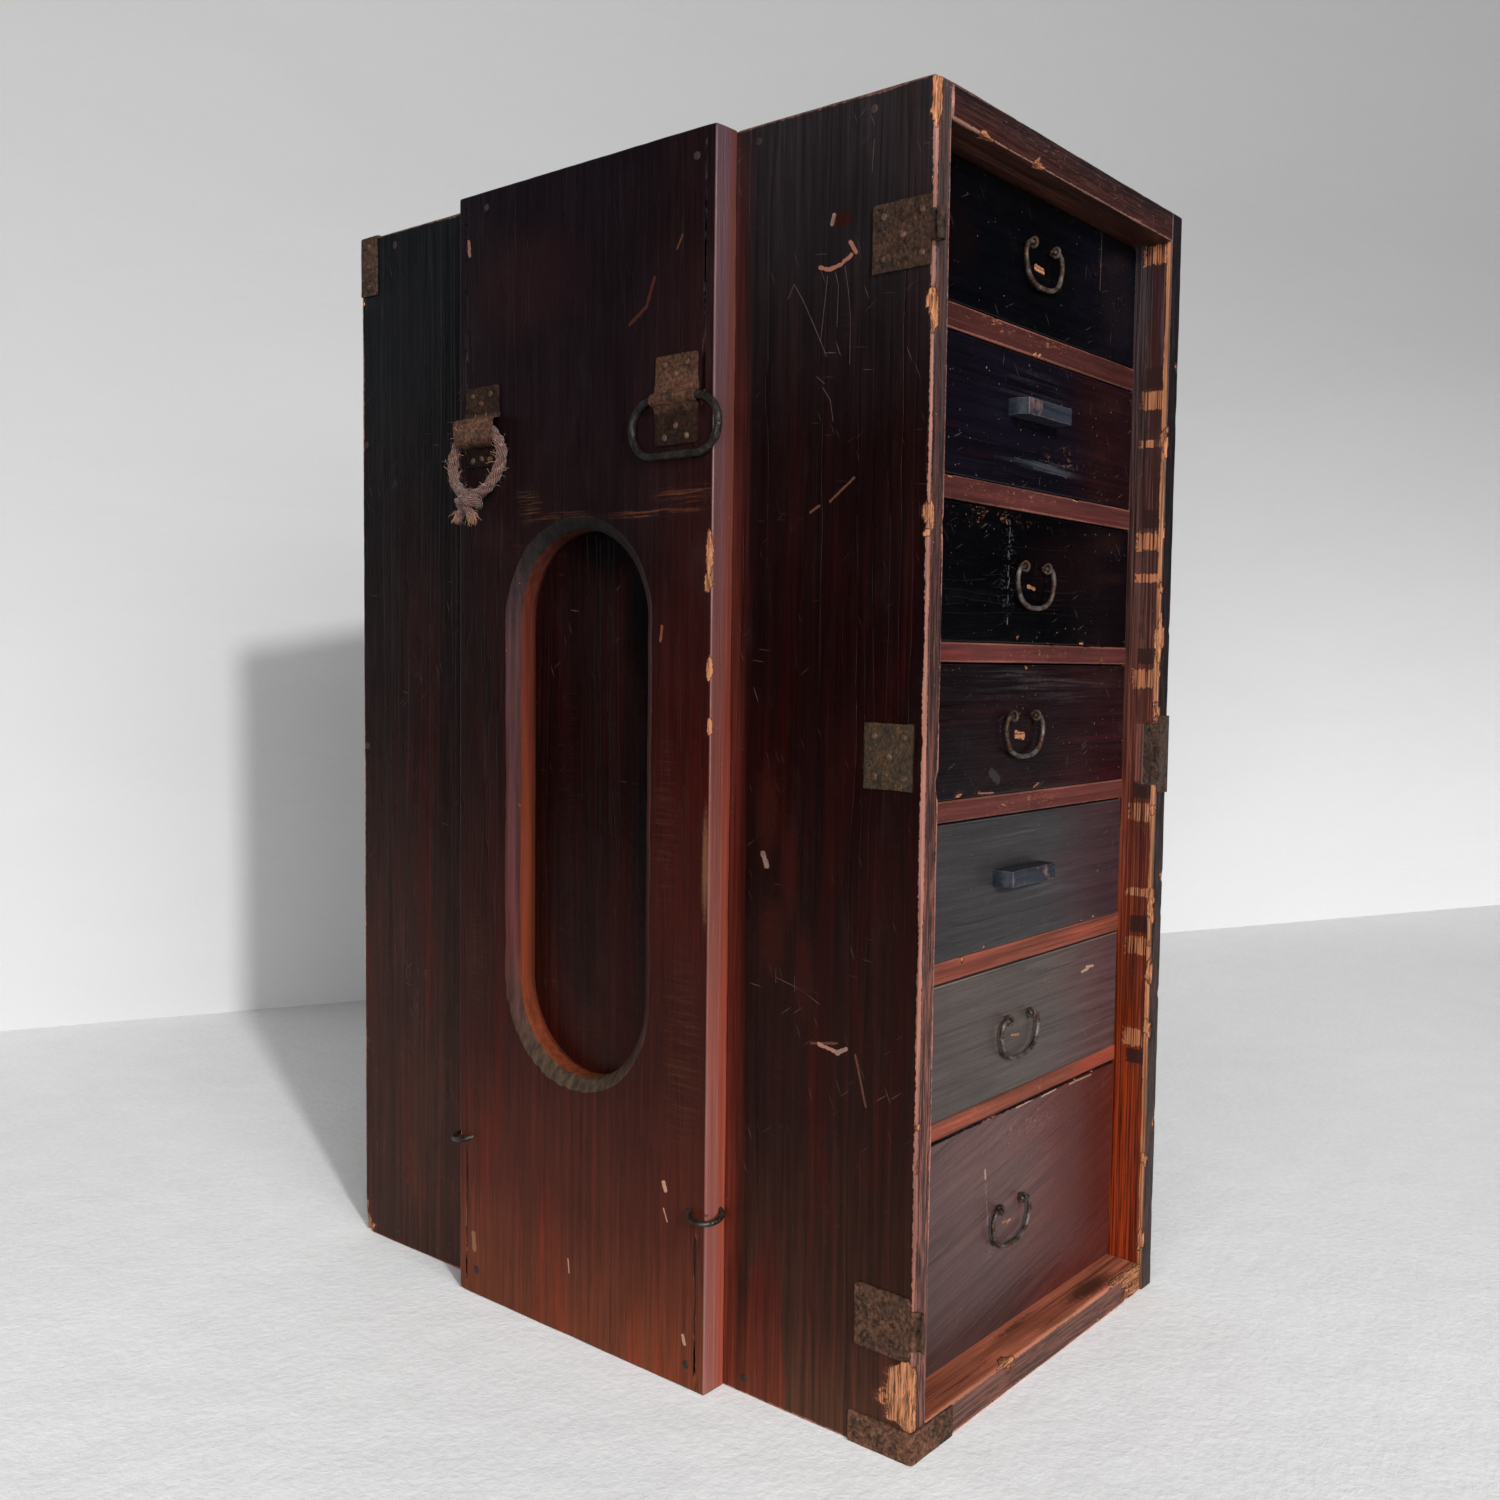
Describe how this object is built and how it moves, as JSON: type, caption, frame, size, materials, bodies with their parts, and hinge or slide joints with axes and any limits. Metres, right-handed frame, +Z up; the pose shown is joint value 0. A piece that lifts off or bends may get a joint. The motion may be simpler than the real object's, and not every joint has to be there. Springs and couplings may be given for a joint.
{
  "type": "portable drawer cabinet",
  "caption": "Tall narrow lacquered cabinet with a stack of drawers in front and a carrier plank with a long round-ended hole, an iron ring and a rope loop on its side.",
  "frame": {"origin": "middle of the case's foot on the ground, without the carrier plank", "axes": "+Z up, -Y the front with the drawers, -X the side with the carrier plank"},
  "size_m": [0.3248, 0.474, 0.702],
  "materials": {
    "dark_lacquered_cedar": "worn dark lacquer, glossy",
    "red_lacquered_cedar": "worn red-brown lacquer, satin",
    "drawer_front_lacquer": "faded dark lacquer, satin",
    "plain_cedar": "bare aged wood, matte",
    "dark_hardwood": "worn dark stain, satin",
    "rusty_iron": "rusted",
    "forged_iron": "dark forged",
    "old_brass": "tarnished",
    "hemp_rope": "twisted, dusty"
  },
  "bodies": {
    "case": {"left_side": "dark_lacquered_cedar", "right_side": "red_lacquered_cedar", "top_board": "dark_lacquered_cedar", "bottom_board": "red_lacquered_cedar", "back_panel": "dark_lacquered_cedar", "carrier_plank": "red_lacquered_cedar", "front_rail_1": "red_lacquered_cedar", "front_rail_2": "red_lacquered_cedar", "front_rail_3": "red_lacquered_cedar", "front_rail_4": "red_lacquered_cedar", "front_rail_5": "red_lacquered_cedar", "front_rail_6": "red_lacquered_cedar", "drawer_runners": "plain_cedar", "wood_pegs": "plain_cedar", "upper_hinge_leaf": "rusty_iron", "middle_plate": "old_brass", "lower_hinge_leaf": "rusty_iron", "strike_plate": "forged_iron", "front_corner_bracket": "rusty_iron", "back_corner_bracket": "rusty_iron", "ring_strap": "rusty_iron", "rope_strap": "rusty_iron", "rope_loop": "hemp_rope", "rope_knot": "hemp_rope", "plank_staples": "forged_iron", "iron_nails": "forged_iron"},
    "carrying_ring": {"carrying_ring": "forged_iron"},
    "drawer_1": {"drawer_1_front": "drawer_front_lacquer", "drawer_1_box": "plain_cedar", "drawer_1_bottom": "plain_cedar", "pull_eyes_1": "forged_iron"},
    "ring_pull_1": {"ring_pull_1": "forged_iron"},
    "drawer_2": {"drawer_2_front": "drawer_front_lacquer", "drawer_2_box": "plain_cedar", "drawer_2_bottom": "plain_cedar", "block_pull_2": "dark_hardwood"},
    "drawer_3": {"drawer_3_front": "drawer_front_lacquer", "drawer_3_box": "plain_cedar", "drawer_3_bottom": "plain_cedar", "pull_eyes_3": "forged_iron"},
    "ring_pull_3": {"ring_pull_3": "forged_iron"},
    "drawer_4": {"drawer_4_front": "drawer_front_lacquer", "drawer_4_box": "plain_cedar", "drawer_4_bottom": "plain_cedar", "pull_eyes_4": "forged_iron"},
    "ring_pull_4": {"ring_pull_4": "forged_iron"},
    "drawer_5": {"drawer_5_front": "drawer_front_lacquer", "drawer_5_box": "plain_cedar", "drawer_5_bottom": "plain_cedar", "block_pull_5": "dark_hardwood"},
    "drawer_6": {"drawer_6_front": "drawer_front_lacquer", "drawer_6_box": "plain_cedar", "drawer_6_bottom": "plain_cedar", "pull_eyes_6": "forged_iron"},
    "ring_pull_6": {"ring_pull_6": "forged_iron"},
    "drawer_7": {"drawer_7_front": "drawer_front_lacquer", "drawer_7_box": "plain_cedar", "drawer_7_bottom": "plain_cedar", "pull_eyes_7": "forged_iron"},
    "ring_pull_7": {"ring_pull_7": "forged_iron"}
  },
  "joints": [
    {"name": "drawer_1_slide", "type": "slide", "parent": "case", "child": "drawer_1", "axis": [0, -1, 0], "range_m": [0, 0.38]},
    {"name": "ring_pull_1_hinge", "type": "hinge", "parent": "drawer_1", "child": "ring_pull_1", "pos_m": [0.00349, -0.21338, 0.65303], "axis": [-1, 0, 0], "range_deg": [-4, 184]},
    {"name": "drawer_2_slide", "type": "slide", "parent": "case", "child": "drawer_2", "axis": [0, -1, 0], "range_m": [0, 0.38]},
    {"name": "drawer_3_slide", "type": "slide", "parent": "case", "child": "drawer_3", "axis": [0, -1, 0], "range_m": [0, 0.38]},
    {"name": "ring_pull_3_hinge", "type": "hinge", "parent": "drawer_3", "child": "ring_pull_3", "pos_m": [0.00291, -0.21338, 0.4697], "axis": [-1, 0, 0], "range_deg": [-4, 184]},
    {"name": "drawer_4_slide", "type": "slide", "parent": "case", "child": "drawer_4", "axis": [0, -1, 0], "range_m": [0, 0.38]},
    {"name": "ring_pull_4_hinge", "type": "hinge", "parent": "drawer_4", "child": "ring_pull_4", "pos_m": [-0.0064, -0.21338, 0.3835], "axis": [-1, 0, 0], "range_deg": [-4, 184]},
    {"name": "drawer_5_slide", "type": "slide", "parent": "case", "child": "drawer_5", "axis": [0, -1, 0], "range_m": [0, 0.38]},
    {"name": "drawer_6_slide", "type": "slide", "parent": "case", "child": "drawer_6", "axis": [0, -1, 0], "range_m": [0, 0.38]},
    {"name": "ring_pull_6_hinge", "type": "hinge", "parent": "drawer_6", "child": "ring_pull_6", "pos_m": [-0.00349, -0.21338, 0.20547], "axis": [-1, 0, 0], "range_deg": [-4, 184]},
    {"name": "drawer_7_slide", "type": "slide", "parent": "case", "child": "drawer_7", "axis": [0, -1, 0], "range_m": [0, 0.38]},
    {"name": "ring_pull_7_hinge", "type": "hinge", "parent": "drawer_7", "child": "ring_pull_7", "pos_m": [-0.00844, -0.21338, 0.09372], "axis": [-1, 0, 0], "range_deg": [-4, 184]},
    {"name": "carrying_ring_hinge", "type": "hinge", "parent": "case", "child": "carrying_ring", "pos_m": [-0.1653, -0.08, 0.557], "axis": [0, 1, 0], "range_deg": [0, 175]}
  ]
}
